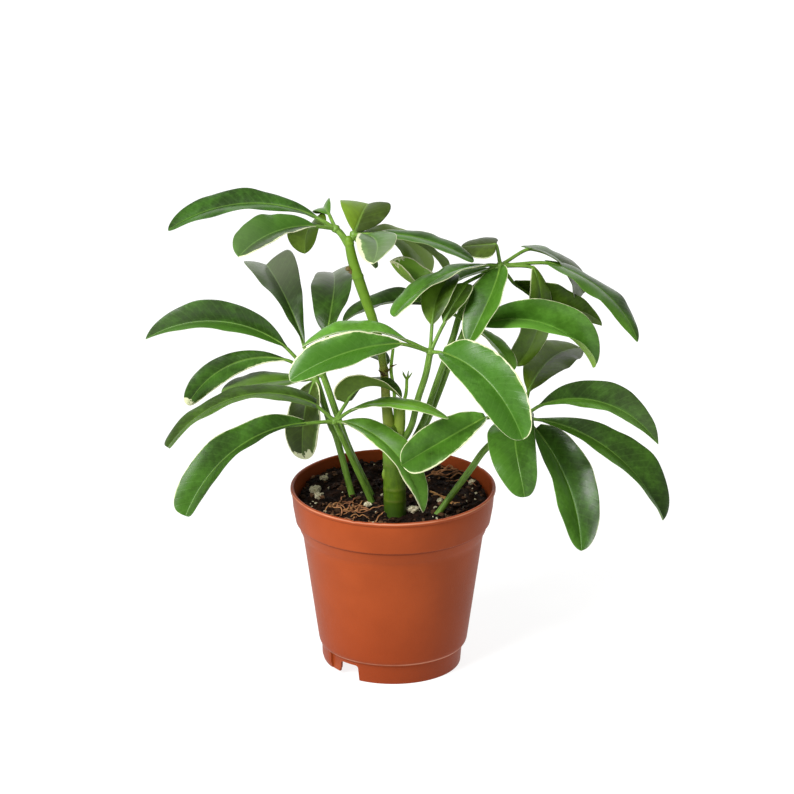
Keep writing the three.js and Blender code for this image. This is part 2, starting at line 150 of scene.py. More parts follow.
def curve(route, steps):
    """A smooth line through the stops of a route (Catmull-Rom), every value of a stop included."""
    stops = np.asarray(route, float)
    padded = np.vstack([2 * stops[0] - stops[1], stops, 2 * stops[-1] - stops[-2]])
    line = []
    for i in range(1, len(padded) - 2):
        a, b, c, d = padded[i - 1:i + 3]
        for t in np.arange(steps) / steps:
            line.append(0.5 * (2 * b + (c - a) * t + (2 * a - 5 * b + 4 * c - d) * t ** 2
                               + (3 * b - a - 3 * c + d) * t ** 3))
    line.append(stops[-1])
    return np.array(line)


def rounded_ends(spine, radii):
    """The line and its radii, carried on past both ends so that the stem closes in a dome."""
    dome = ((0.45, 0.88), (0.85, 0.5), (0.98, 0.12))
    ahead, back = spine[1] - spine[0], spine[-1] - spine[-2]
    ahead, back = ahead / np.linalg.norm(ahead), back / np.linalg.norm(back)
    first = [spine[0] - ahead * radii[0] * out for out, _ in reversed(dome)]
    last = [spine[-1] + back * radii[-1] * out for out, _ in dome]
    first_radii = [radii[0] * share for _, share in reversed(dome)]
    last_radii = [radii[-1] * share for _, share in dome]
    return np.vstack([first, spine, last]), np.concatenate([first_radii, radii, last_radii])


def loft_faces(rows, sides):
    """The faces of a closed body through rings of points."""
    faces = [(i * sides + k, i * sides + (k + 1) % sides,
              (i + 1) * sides + (k + 1) % sides, (i + 1) * sides + k)
             for i in range(rows - 1) for k in range(sides)]
    faces.append(tuple(range(sides - 1, -1, -1)))
    faces.append(tuple((rows - 1) * sides + k for k in range(sides)))
    return faces


def sheet_faces(rows, columns):
    """The faces of a thin closed sheet: a grid of points above, one below, and the edges."""
    count = rows * columns
    faces = []
    for i in range(rows - 1):
        for j in range(columns - 1):
            a = i * columns + j
            b = count + a
            faces.append((a, a + columns, a + columns + 1, a + 1))
            faces.append((b, b + 1, b + columns + 1, b + columns))
        for a in (i * columns, (i + 1) * columns - 1):
            faces.append((a, count + a, count + a + columns, a + columns))
    for j in range(columns - 1):
        for a in (j, (rows - 1) * columns + j):
            faces.append((a, a + 1, count + a + 1, count + a))
    return faces


def tube(shape, line, sides=12, slot=0, **values):
    """A round stem along a line of [x, y, z, radius], with rounded ends."""
    line = np.asarray(line, float)
    spine, radii = rounded_ends(line[:, :3], line[:, 3])
    ways = np.gradient(spine, axis=0)
    ways /= np.linalg.norm(ways, axis=1)[:, None]
    side = np.cross(ways[0], [0.0, 0.0, 1.0] if abs(ways[0][2]) < 0.9 else [1.0, 0.0, 0.0])
    turns = [2 * math.pi * k / sides for k in range(sides)]
    points = []
    for centre, way, radius in zip(spine, ways, radii):
        side = side - way * np.dot(side, way)
        side /= np.linalg.norm(side)
        up = np.cross(way, side)
        points.extend(centre + radius * (math.cos(turn) * side + math.sin(turn) * up)
                      for turn in turns)
    run = np.concatenate([[0], np.cumsum(np.linalg.norm(np.diff(spine, axis=0), axis=1))])
    run = np.repeat(run, sides)
    shape.add(points, loft_faces(len(spine), sides), slot,
              turn=np.tile([math.sin(turn) for turn in turns], len(spine)), run=run, **values)


def lump(shape, centre, size, slot=0, rough=0.25, finer=2, **values):
    """An irregular round lump of the given three half-sizes."""
    work = bmesh.new()
    bmesh.ops.create_icosphere(work, subdivisions=finer, radius=1.0)
    seed = Vector([CHANCE.uniform(-50, 50) for _ in range(3)])
    points = []
    for vert in work.verts:
        swell = 1 + rough * noise.noise(vert.co * 1.4 + seed) + rough * 0.6 * noise.noise(
            vert.co * 3.4 + seed)
        points.append(np.array(centre) + np.array(vert.co) * np.array(size) * swell)
    faces = [tuple(v.index for v in face.verts) for face in work.faces]
    work.free()
    shape.add(points, faces, slot, **values)


# ------------------------ materials
class Finish:
    """A material made of nodes. node() adds one, setting or linking its inputs."""

    def __init__(self, name):
        self.material = bpy.data.materials.new(name)
        self.material.use_nodes = True
        self.tree = self.material.node_tree
        self.shader = self.tree.nodes["Principled BSDF"]

    def feed(self, socket, value):
        if isinstance(value, bpy.types.NodeSocket):
            self.tree.links.new(value, socket)
        else:
            socket.default_value = value

    def node(self, kind, inputs=None, **settings):
        made = self.tree.nodes.new(kind)
        for key, value in settings.items():
            setattr(made, key, value)
        for key, value in (inputs or {}).items():
            self.feed(made.inputs[key], value)
        return made

    def value(self, name):
        return self.node("ShaderNodeAttribute", attribute_name=name).outputs["Fac"]

    def maths(self, operation, a, b=0.0):
        return self.node("ShaderNodeMath", {0: a, 1: b}, operation=operation).outputs[0]

    def plus(self, a, b):
        return self.maths("ADD", a, b)

    def times(self, a, b):
        return self.maths("MULTIPLY", a, b)

    def place(self):
        return self.node("ShaderNodeTexCoord").outputs["Object"]

    def noise(self, vector, scale, detail=3.0, roughness=0.5):
        return self.node("ShaderNodeTexNoise", {"Vector": vector, "Scale": scale, "Detail": detail,
                                                "Roughness": roughness}).outputs["Fac"]

    def ramp(self, value, low, high, out_low=0.0, out_high=1.0):
        """The value from low to high, eased, as out_low to out_high."""
        return self.node("ShaderNodeMapRange", {"Value": value, "From Min": low, "From Max": high,
                                                "To Min": out_low, "To Max": out_high},
                         interpolation_type="SMOOTHSTEP").outputs["Result"]

    def mix(self, share, a, b):
        made = self.node("ShaderNodeMix", data_type="RGBA")
        self.feed(made.inputs["Factor"], share)
        self.feed(made.inputs[6], a)
        self.feed(made.inputs[7], b)
        return made.outputs[2]

    def bump(self, height, distance, strength=1.0):
        return self.node("ShaderNodeBump", {"Height": height, "Distance": distance,
                                            "Strength": strength}).outputs["Normal"]

    def done(self, base, roughness, normal=None, **constants):
        self.feed(self.shader.inputs["Base Color"], base)
        self.feed(self.shader.inputs["Roughness"], roughness)
        if normal is not None:
            self.feed(self.shader.inputs["Normal"], normal)
        for key, value in constants.items():
            self.shader.inputs[key.replace("_", " ")].default_value = value
        return self.material


def stretched(finish, across, along):
    """Coordinates that run with a stem: fine round it, long down its length."""
    turn = finish.times(finish.value("turn"), across)
    run = finish.times(finish.value("run"), along)
    return finish.node("ShaderNodeCombineXYZ", {"X": turn, "Y": run, "Z": run}).outputs[0]


def blade_green(f, tone, yellowed, vein, rib):
    """Green of the tone, olive where dull, paler on veins and midrib, with a painted grey sheen towards
    the tip.
    """
    green = f.mix(f.ramp(tone, 0.0, 0.5), colour(32, 54, 14), colour(61, 105, 28))
    green = f.mix(f.ramp(tone, 0.5, 1.0), green, colour(99, 155, 57))
    green = f.mix(f.times(f.value("olive"), 0.85), green, yellowed)
    green = f.mix(f.times(vein, 0.05), green, colour(112, 150, 70))
    green = f.mix(f.times(rib, 0.32), green, colour(124, 162, 70))
    # Painted sheen: the grey that glossy leaves reflect at a grazing angle, laid into the colour towards
    # the tip.
    sheen_share = f.times(f.value("grey"), f.ramp(f.value("along"), 0.3, 0.85, 0.0, 0.7))
    return f.mix(sheen_share, green, colour(132, 137, 116))


def cream_edge(f, here, green):
    """The green with a paler zone inside the cream margin, and the share of cream."""
    uneven = f.noise(here, 160.0, 3.0, 0.6)
    band = f.times(f.value("cream"), f.ramp(uneven, 0.32, 0.7, 0.5, 1.3))
    inset = f.maths("DIVIDE", f.value("margin"), f.maths("MAXIMUM", band, 0.02))
    edged = f.ramp(f.value("cream"), 0.08, 0.45)
    pale = f.times(f.ramp(inset, 3.2, 1.0), f.ramp(uneven, 0.45, 0.62, 0.0, 0.4))
    green = f.mix(f.times(pale, edged), green, colour(120, 154, 82))
    cream = f.times(f.ramp(inset, 1.2, 0.8), edged)
    patch = f.plus(f.value("patch"), f.ramp(uneven, 0.3, 0.7, -0.35, 0.35))
    return green, f.maths("MAXIMUM", cream, f.ramp(patch, 0.52, 0.6))


def leaf_finish():
    """Glossy leaflets: green of a tone of their own, partly painted light and shade, pale midrib, cream
    margin, olive underside and a painted grey sheen towards some tips.
    """
    f = Finish("leaflet")
    here = f.place()
    cloudy = f.noise(here, 70.0, 4.0, 0.55)
    fine = f.noise(here, 420.0, 3.0, 0.6)
    tone = f.plus(f.value("tone"), f.ramp(cloudy, 0.3, 0.7, -0.11, 0.11))
    tone = f.plus(tone, f.ramp(fine, 0.3, 0.7, -0.05, 0.05))
    yellowed = f.mix(f.ramp(tone, 0.0, 1.0), colour(46, 60, 6), colour(112, 140, 26))
    vein = f.maths("ABSOLUTE", f.maths("COSINE", f.times(f.value("vein"), math.pi)))
    vein = f.ramp(vein, 0.93, 1.0)
    rib_width = f.ramp(f.value("along"), 0.0, 1.0, 0.75, 0.22)
    rib = f.ramp(f.maths("DIVIDE", f.value("rib"), rib_width), 1.1, 0.45)
    green, cream = cream_edge(f, here, blade_green(f, tone, yellowed, vein, rib))
    top = f.mix(cream, green, colour(206, 210, 168))
    back = f.mix(f.ramp(tone, 0.0, 1.0), colour(62, 88, 12), colour(124, 162, 54))
    back = f.mix(f.times(f.value("olive"), 0.7), back, yellowed)
    back = f.mix(f.times(rib, 0.5), back, colour(134, 164, 84))
    back = f.mix(cream, back, colour(192, 194, 150))
    gloss = f.plus(f.ramp(fine, 0.2, 0.8, 0.25, 0.36), f.times(f.value("under"), 0.22))
    gloss = f.plus(gloss, f.times(f.value("olive"), 0.2))
    height = f.plus(f.times(fine, 0.12), f.times(cloudy, 0.5))
    height = f.maths("SUBTRACT", height, f.times(vein, 0.07))
    return f.done(f.mix(f.value("under"), top, back), gloss, f.bump(height, 0.0006, 0.5),
                  Specular_IOR_Level=0.26)


def stalk_finish():
    """Green petioles with faint lengthways streaks."""
    f = Finish("petiole")
    streaks = f.noise(stretched(f, 5.0, 0.12), 1.0, 3.0, 0.6)
    spots = f.noise(f.place(), 900.0, 2.0, 0.6)
    light = colour(116, 154, 60)
    base = f.mix(f.ramp(streaks, 0.3, 0.7), colour(70, 102, 28), light)
    base = f.mix(f.ramp(spots, 0.62, 0.74, 0.0, 0.35), base, light)
    height = f.plus(streaks, f.times(spots, 0.4))
    return f.done(base, f.ramp(spots, 0.2, 0.8, 0.36, 0.5), f.bump(height, 0.0003, 0.5),
                  Specular_IOR_Level=0.25)


def trunk_finish():
    """Smooth green bark: yellow-green where young, dark near the soil, brown on scars and bracts."""
    f = Finish("trunk_bark")
    here = f.place()
    patches = f.noise(here, 120.0, 4.0, 0.6)
    streaks = f.noise(stretched(f, 6.0, 0.2), 1.0, 3.0, 0.6)
    spots = f.noise(here, 1100.0, 2.0, 0.6)
    base = f.mix(f.ramp(patches, 0.35, 0.68), colour(60, 86, 8), colour(86, 112, 16))
    base = f.mix(f.ramp(streaks, 0.35, 0.7, 0.0, 0.5), base, colour(78, 108, 12))
    base = f.mix(f.ramp(f.value("pale"), 0.0, 1.0), base, colour(122, 166, 50))
    base = f.mix(f.value("tan"), base, colour(158, 152, 70))
    base = f.mix(f.ramp(f.value("dark"), 0.0, 1.0, 0.0, 0.8), base, colour(34, 58, 8))
    brown = f.times(f.value("brown"), f.ramp(patches, 0.25, 0.6, 0.6, 1.0))
    base = f.mix(brown, base, colour(104, 84, 46))
    base = f.mix(f.ramp(spots, 0.66, 0.78, 0.0, 0.3), base, colour(150, 150, 84))
    height = f.plus(f.times(patches, 0.6), f.times(spots, 0.3))
    return f.done(base, f.ramp(spots, 0.2, 0.8, 0.38, 0.55), f.bump(height, 0.0004, 0.6),
                  Specular_IOR_Level=0.25)


def pot_finish():
    """Moulded orange-brown plastic with faint drag marks and scuffs, darker low down, painted shade in the
    crease under the collar and inside the wall, and painted highlights on the lip and ledge.
    """
    f = Finish("pot_plastic")
    here = f.place()
    cloudy = f.noise(here, 34.0, 3.0, 0.55)
    grain = f.noise(here, 1500.0, 2.0, 0.5)
    drawn = f.node("ShaderNodeMapping", {"Vector": here, "Scale": (1.0, 1.0, 0.12)}).outputs[0]
    scuff = f.noise(drawn, 420.0, 3.0, 0.65)
    base = f.mix(f.ramp(cloudy, 0.3, 0.72), colour(140, 61, 25), colour(149, 66, 28))
    base = f.mix(f.ramp(scuff, 0.68, 0.8, 0.0, 0.14), base, colour(170, 90, 50))
    base = f.mix(f.ramp(f.value("low"), 0.0, 1.0, 0.0, 0.5), base, colour(124, 44, 13))
    # Painted shade: a dark line in the crease under the collar.
    base = f.mix(f.value("crease"), base, colour(104, 40, 17))
    # Painted highlight: a pale line along the edges of the lip and the ledge.
    worn = f.times(f.value("worn"), f.ramp(cloudy, 0.3, 0.6, 0.25, 0.8))
    base = f.mix(worn, base, colour(206, 146, 116))
    # Painted shade on the inside of the wall, darkest towards the soil.
    base = f.mix(f.ramp(f.value("dirt"), 0.0, 1.0, 0.0, 0.6), base, colour(92, 42, 18))
    rough = f.ramp(grain, 0.2, 0.8, 0.40, 0.5)
    return f.done(base, rough, f.bump(f.plus(grain, cloudy), 0.00025, 0.35),
                  Specular_IOR_Level=0.1)


def soil_finish():
    """Dark crumbs with some brown and tan bits."""
    f = Finish("potting_mix")
    here = f.place()
    coarse = f.noise(here, 260.0, 4.0, 0.65)
    fine = f.noise(here, 1300.0, 3.0, 0.7)
    base = f.mix(f.ramp(coarse, 0.35, 0.7), colour(13, 8, 6), colour(46, 28, 19))
    base = f.mix(f.value("tan"), base, colour(122, 88, 62))
    base = f.mix(f.ramp(fine, 0.62, 0.75, 0.0, 0.4), base, colour(84, 54, 36))
    return f.done(base, f.ramp(fine, 0.3, 0.7, 0.55, 0.95), f.bump(fine, 0.0008, 0.9),
                  Specular_IOR_Level=0.08)


def perlite_finish():
    """Pitted white crumbs, stained by the soil."""
    f = Finish("perlite_crumb")
    here = f.place()
    pits = f.noise(here, 1300.0, 4.0, 0.7)
    stain = f.noise(here, 300.0, 3.0, 0.6)
    base = f.mix(f.ramp(pits, 0.34, 0.6), colour(140, 126, 88), colour(228, 220, 190))
    base = f.mix(f.ramp(stain, 0.5, 0.75, 0.0, 0.6), base, colour(146, 128, 78))
    return f.done(base, 0.9, f.bump(pits, 0.0009, 1.0))


def fibre_finish():
    """Dry brown to straw-coloured roots."""
    f = Finish("root_fibre")
    here = f.place()
    patches = f.noise(here, 380.0, 3.0, 0.6)
    base = f.mix(f.ramp(patches, 0.35, 0.7), colour(84, 46, 30), colour(158, 108, 78))
    base = f.mix(f.value("tan"), base, colour(186, 136, 84))
    return f.done(base, 0.75, f.bump(patches, 0.0003, 0.6), Specular_IOR_Level=0.15)


def floor_finish():
    """A white light table."""
    f = Finish("studio_floor")
    haze = f.noise(f.place(), 2.0, 2.0, 0.5)
    base = f.mix(haze, (0.24, 0.24, 0.24, 1.0), (0.26, 0.26, 0.26, 1.0))
    return f.done(base, 0.9, Specular_IOR_Level=0.1, Emission_Color=(1.0, 1.0, 1.0, 1.0),
                  Emission_Strength=0.86)


LEAFLET = leaf_finish()
STALK = stalk_finish()
BARK = trunk_finish()
POT_PLASTIC = pot_finish()
POTTING_MIX = soil_finish()
PERLITE = perlite_finish()
FIBRE = fibre_finish()

# ------------------------ leaflets
# The same rows as the solids: yaw, pitch, stalk, length, droop, side, width, roll, fold and,
# where given, tip, base, twist, elbow.
FIELDS = ("yaw", "pitch", "stalk", "length", "droop", "side", "width", "roll", "fold",
          "tip", "base", "twist", "elbow")
USUAL = {"tip": 0.45, "base": 0.7, "twist": 0, "elbow": 0}
# tone_left and tone_right partly paint light and shade; grey is a painted sheen.
LOOK = ("tone_left", "tone_right", "cream_left", "cream_right", "olive", "grey", "patch")
BLADE_ROWS = 52
HALF_COLUMNS = (0, 0.035, 0.09, 0.17, 0.28, 0.4, 0.53, 0.66, 0.78, 0.88, 0.95, 1)
BLADE = {
    "thick": 0.55, "margin_thinner": 0.55,
    "waver": 0.045, "wave": 0.035, "ripple": 0.9,     # of the margin
    "full_waves": 62,                                 # length from which a blade waves in full
    "swell": 0.07, "quilt": 0.045,                    # of each half, and between its veins
    "vein_step": 4.2, "vein_rake": 0.75,
    "groove": (0.22, 0.55), "rib": (0.75, 0.8),       # depth and half-width of the midrib's two sides
}


def bearings(yaw, pitch, roll):
    """Along the midrib, across the blade and up from its face."""
    along = np.array([math.cos(pitch) * math.cos(yaw), math.cos(pitch) * math.sin(yaw),
                      math.sin(pitch)])
    level = np.array([-math.sin(yaw), math.cos(yaw), 0.0])
    across = level * math.cos(roll) + np.cross(along, level) * math.sin(roll)
    return along, across, np.cross(along, across)


def outline(s, base, tip):
    broadest = base / (base + tip)
    return (s / broadest) ** base * ((1 - s) / (1 - broadest)) ** tip


def midrib(hub, leaf, steps=96):
    """Point, across and up at even steps from the blade's base to its tip."""
    def at_share(s):
        return bearings(math.radians(leaf["yaw"] + leaf["side"] * s),
                        math.radians(leaf["pitch"] + leaf["elbow"] - leaf["droop"] * s),
                        math.radians(leaf["roll"] + leaf["twist"] * s))
    stalk_way = bearings(math.radians(leaf["yaw"]), math.radians(leaf["pitch"]), 0)[0]
    here = np.array(hub, float) + stalk_way * leaf["stalk"]
    rows = []
    for i in range(steps + 1):
        _, across, up = at_share(i / steps)
        rows.append(np.concatenate([here, across, up]))
        here = here + at_share((i + 0.5) / steps)[0] * leaf["length"] / steps
    return np.array(rows)


def uneven(columns, s, seed):
    """A soft random value for each half of the blade."""
    halves = [noise.noise(Vector((s, seed, sign))) for sign in (-1, 1)]
    return np.where(columns < 0, *halves)


def section(leaf, s, columns):
    """The blade cut across at share s: its reach, upper and lower skin, and values for its look."""
    edge = np.abs(columns)
    fold = math.radians(leaf["fold"])
    seed = leaf["yaw"] * 0.37 + leaf["length"]
    calm = min(1.0, leaf["length"] / BLADE["full_waves"]) ** 1.5
    taper = math.sin(math.pi * s)
    half = leaf["width"] / 2 * outline(min(max(s, 0.012), 0.9992), leaf["base"], leaf["tip"])
    reach = half * columns * math.cos(fold) * (1 + BLADE["waver"] * calm * uneven(columns, s * 5, seed))
    arch = np.sin(math.pi * edge)
    vein = (s * leaf["length"] - BLADE["vein_rake"] * edge * half) / BLADE["vein_step"]
    wave = BLADE["wave"] * calm * leaf["width"] * math.sin(5 * math.pi * s + leaf["yaw"]) * taper
    wave = wave + BLADE["ripple"] * calm * taper * uneven(columns, s * 9, seed + 5)
    rise = (half * (np.sqrt(edge ** 2 + 0.006) - 0.0775) * math.sin(fold) + wave * edge ** 2
            + BLADE["swell"] * half * arch + BLADE["quilt"] * np.sin(2 * math.pi * vein) * taper * arch)
    thick = BLADE["thick"] * (1 - BLADE["margin_thinner"] * edge)
    (groove, groove_wide), (rib, rib_wide) = BLADE["groove"], BLADE["rib"]
    above = rise + thick / 2 - groove * np.exp(-(edge * half / groove_wide) ** 2) * (1 - s)
    below = rise - thick / 2 - rib * np.exp(-(edge * half / rib_wide) ** 2) * (1 - s) ** 0.8
    tip_gap = (1 - s) * leaf["length"]
    margin = np.minimum((1 - edge) * half, tip_gap + 0.4 * (1 - edge) * half)
    return reach, above, below, np.stack([np.full(len(columns), s), margin, edge * half, vein])


def blade(shape, hub, leaf, look):
    """A thin closed blade: folded along a sunk midrib, swelling between the veins, margin waved."""
    rib_line = midrib(hub, leaf)
    share = np.linspace(0, 1, len(rib_line))
    columns = np.array([-t for t in reversed(HALF_COLUMNS[1:])] + list(HALF_COLUMNS))
    tops, unders, marks = [], [], []
    for u in np.linspace(0, 1, BLADE_ROWS):
        s = 1 - (1 - u) ** 1.7
        here, across, up = np.split(np.array([np.interp(s, share, row) for row in rib_line.T]), 3)
        reach, above, below, row_marks = section(leaf, s, columns)
        middles = here + np.outer(reach, across)
        tops.extend(middles + np.outer(above, up))
        unders.extend(middles + np.outer(below, up))
        marks.append(row_marks)
    along, margin, rib, vein = (np.tile(mark, 2) for mark in np.concatenate(marks, axis=1))
    # The two half tones are partly the leaflet's own green and partly painted light and shade.
    leftness = (np.clip(columns / 0.12, -1, 1) + 1) / 2
    tone = look["tone_right"] + (look["tone_left"] - look["tone_right"]) * leftness
    cream = np.where(columns > 0, look["cream_left"], look["cream_right"])
    patch = np.clip(1 - (1 - along) / look["patch"], 0, 1) if look["patch"] else 0.0
    # The grey share is a painted sheen towards the tip.
    shape.add(tops + unders, sheet_faces(BLADE_ROWS, len(columns)), 0,
              under=np.repeat([0.0, 1.0], len(tops)), along=along, margin=margin, rib=rib, vein=vein,
              tone=np.tile(tone, 2 * BLADE_ROWS), cream=np.tile(cream, 2 * BLADE_ROWS),
              patch=patch, olive=look["olive"], grey=look["grey"])


def stalk(shape, hub, leaf):
    """The leaflet's stalk, thicker at the hub, running on under the blade as its rib."""
    rib_line = midrib(hub, leaf, 40)
    hub = np.array(hub, float)
    base = rib_line[0, :3]
    route = [[*hub, STALK_RADIUS * 1.25], [*(hub + (base - hub) * 0.3), STALK_RADIUS * 0.95],
             [*(hub + (base - hub) * 0.75), STALK_RADIUS * 0.9]]
    for row, radius in ((1, 0.85), (5, 0.62), (10, 0.45)):
        sunk = rib_line[row, :3] - rib_line[row, 6:9] * 0.35
        route.append([*sunk, STALK_RADIUS * radius])
    tube(shape, curve(route, 4), 10, 1)


# ------------------------ the leaves
# The hub, the petiole and each leaflet's first row are as in the solids. A leaflet's second row is
# its look: the tone of its left and right half (0 dark, 1 light), partly the leaflet's own green and
# partly painted light and shade, set half by half; the width of the cream margin on its left and
# right and, where given, how olive and dull it is, how much painted grey sheen it takes towards the
# tip, and the share of its length that a cream patch covers at the tip.
LEAVES = {}
LEAVES["leaf_top_left"] = {
    "hub": (-29, 2, 234.2),
    "petiole": [(-22.5, -0.2, 226), (-26, 1, 231.5)],
    "leaflets": [
        ((170, 31, 9.5, 81, 60, 13, 20.5, -17, 16, 0.6, 1, 3, -7), (0.3, 0.15, 0.1, 0.1)),
        ((213, 17, 12.5, 55.5, 33, 25, 23, -20, 28, 0.5, 0.8, 9, -3), (0.13, 0.51, 0.8, 0.15, 0.1, 0.25)),
        ((128, -2, 8.7, 40.5, 79, -39, 20, -15, 20, 0.55), (0.42, 0.6, 0.1, 0.1, 0.8)),
        ((109, 22, 10.8, 20.5, 77, -16, 11.5, -35, 23, 0.4, 0.75), (0.5, 0.5, 0.1, 0.1, 0.2)),
    ],
}
LEAVES["leaf_top"] = {
    "hub": (-19.8, 2, 231),
    "petiole": [(-22.3, 0, 227)],
    "leaflets": [
        ((83, 25, 4.7, 37.5, 70, 26, 13.5, 12, 29, 0.35, 0.5, 7, 1), (0.45, 0.45, 0.15, 0.15, 0.2)),
        ((68, 42, 1.6, 25, 52, 9, 26.5, 38, 8, 0.25, 0.7, -43, 1), (0.79, 0.19, 0.1, 0.1, 1)),
        ((1, 1, 12.4, 51, 35, -5, 14, 5, 6, 0.4, 0.45, 4), (0.22, 0.51, 0.3, 0.2, 0.1)),
        ((301, 15, 10.9, 40, 38, -49, 21.5, -7, 18, 0.5, 0.65, 24, 2), (0.49, 0.46, 0.35, 2.2, 0.2, 0.5)),
        ((53, -8, 8.4, 65.5, 54, -9, 23, 30, -3, 0.15, 0.9, 39, -1), (1, 1, 0.5, 0.1, 1)),
        ((32, -10, 13.1, 58.5, 47, 19, 14.5, 6, 18, 0.45, 0.7, 3), (0.4, 0.4, 0.2, 0.2, 0.5)),
        ((321, -48, 3, 17.5, -4, 0, 14, -26, 10), (0.45, 0.45, 0.2, 0.3, 0.5)),
    ],
}
LEAVES["leaf_left_upper"] = {
    "hub": (-39.7, 18, 146.9),
    "petiole": [(-16, 0, 70), (-20, 3, 85), (-28.5, 9, 117), (-32, 11, 125), (-38, 16, 143.5)],
    "leaflets": [
        ((162, 45, 22, 77.5, 66, 18, 23, -46, 44, 0.85, 0.85, 10, -12), (0.44, 0.17, 0.2, 0.1, 0.1, 0.08)),
        ((180, 39, 15.2, 63, 74, 33, 13.5, -49, -10, 0.45, 1.05, -32, -20),
         (0.3, 0.15, 0.7, 0.15, 0.1, 0, 0.09)),
        ((189, 1, 4.4, 44.5, 15, 4, 21.5, -7, 9, 0.6, 0.9, 4, 1), (0.44, 0.44, 0.3, 0.2, 0.5, 0.2)),
        ((120, 52, 16.8, 61.5, 52, -13, 29.5, 6, 30, 0.15, 1.15, -16, 2), (0.2, 0.06, 0.1, 0.1, 0.2, 0.5)),
        ((242, -36, 1.8, 41.5, 57, 25, 20.5, 11, 6, 0.45, 0.55, 13), (0.26, 0.05, 0.7, 0.9, 1, 0, 0.2)),
    ],
}
LEAVES["leaf_left_lower"] = {
    "hub": (-29.5, -10, 134.7),
    "petiole": [(-7, 3, 70), (-10.5, 1, 85), (-23.5, -5, 118.5)],
    "leaflets": [
        ((183, 43, 13.4, 86, 78, 27, 19, -15, 9, 0.15, 0.25, 32, -15), (0.39, 0.2, 0.15, 0.2, 0.5)),
        ((200, 3, 16.2, 83.5, 61, 27, 23.5, -19, 35, 0.25, 0.5, 13, 1), (0.21, 0.26, 0.1, 0.35, 0.1)),
        ((335, 60, 12.6, 37, 113, 3, 20, -39, 33, 0.6, 0.25, 34, 10), (0.28, 0.28, 0.2, 0.7, 0.4)),
        ((329, 40, 13.1, 54.5, 56, 21, 10, 10, 6, 0.6, 0.6, 3, -10), (0.63, 0.89, 0.4, 0.3, 0.3)),
        ((326, 6, 4.6, 68.5, 83, -2, 18.5, 15, 25, 0.75, 0.75, -8, -2), (0.62, 0.89, 0.3, 0.85, 0.2)),
    ],
}
LEAVES["leaf_centre"] = {
    "hub": (18.8, -18, 175.4),
    "petiole": [(2, -13, 121), (9, -14, 133), (12.5, -15.5, 148.5), (16.5, -17, 162.5)],
    "leaflets": [
        ((209, 25, 16.5, 64, 47, -20, 22, -48, 27, 0.55, 0.95, 19, -13), (0.54, 0.55, 0.35, 0.9)),
        ((186, 29, 13.8, 56, 66, -9, 18.5, -5, 16, 0.65, 0.8, 10), (0.77, 0.77, 0.35, 0.2, 0.1)),
        ((320, 10, 8.2, 66, 65, -1, 29.5, 24, 32, 0.45, 0.45, 24, -10), (0.46, 0.61, 0.9, 0.35)),
        ((81, 67, 13.7, 32, 54, -39, 18, 0, 15), (0.73, 0.3, 0.3, 0.3, 0.7)),
        ((40, 56, 16.2, 25, 35, 20, 14, 0, 15), (0.73, 0.14, 0.3, 0.3, 0.5)),
    ],
}
LEAVES["leaf_right_upper"] = {
    "hub": (54.4, 12, 210.7),
    "petiole": [
        (2.5, -12, 110), (10, -9, 123), (16, -7, 135), (21, -4, 149.5), (26, 0, 163),
        (30.5, 5, 174.6), (34.5, 9, 186.8), (42, 11, 199.7),
    ],
    "leaflets": [
        ((205, 13, 7.5, 58.5, 52, 3, 22, 5, 9, 0.3, 0.75, 10, -7), (0.65, 0.7, 0.5, 0.3, 0.1)),
        ((190, -12, 6, 29, 24, -16, 14, 0, 15), (1, 1, 0.2, 0.2, 0.4)),
        ((260, -27, 1.5, 45, 32, -44, 21.5, 28, 22, 0.5, 0.4, -41), (0.54, 0.32, 0.35, 0.4, 0.1)),
        ((171, 80, 11.6, 18, -2, 12, 21.5, -10, -10, 0.55, 0.25, -2, -87), (0.17, 0, 0.3, 0.15, 1)),
        ((34, 20, 17.4, 44, 57, -32, 23, -9, 2, 0.15, 0.25, 39, -34), (0.23, 0.23, 0.15, 0.15, 0.3, 0.7)),
        ((11, 1, 23.6, 66.5, 23, -80, 22.5, 1, -4, 0.8, 0.5, -20, -21), (0.19, 0.51, 0.1, 0.1, 0.2)),
        ((3, -2, 16.5, 58, 63, -10, 21, 48, -10, 0.3, 0.7, -2, -65), (0.72, 0.44, 0.4, 0.3, 0.8)),
        ((21, -55, 11.9, 54, -27, -22, 25.5, 65, 59, 0.65, 0.6, -59, 12), (0.27, 0.27, 0.3, 0.15, 0.7)),
        ((171, -30, 23, 42.5, -90, 4, 22.5, -34, 48, 0.4, 0.95, 32, 2), (1, 1, 1.3, 1, 0.6, 0, 0.16)),
    ],
}
LEAVES["leaf_right_middle"] = {
    "hub": (38.1, 2, 184),
    "petiole": [
        (2, -9.5, 103), (7.5, -6, 112), (11.5, -4.5, 121), (18, -2.5, 133.5), (23.5, 0.5, 147),
        (28.8, 3, 161), (34.5, 3, 174.5),
    ],
    "leaflets": [
        ((355, -16, 6, 70.5, 93, 18, 31, 66, 56, 0.65, 0.7, -36, 40), (0.64, 1, 0.35, 0.2, 0.1)),
        ((0, -40, 5.5, 29, 15, -19, 18, 0, 12), (0.89, 0.89, 0.7, 0.5, 0.4)),
        ((163, 24, 8.5, 61, 65, 14, 20, -5, 20), (0.14, 0.14, 0.2, 0.2, 0.2)),
    ],
}
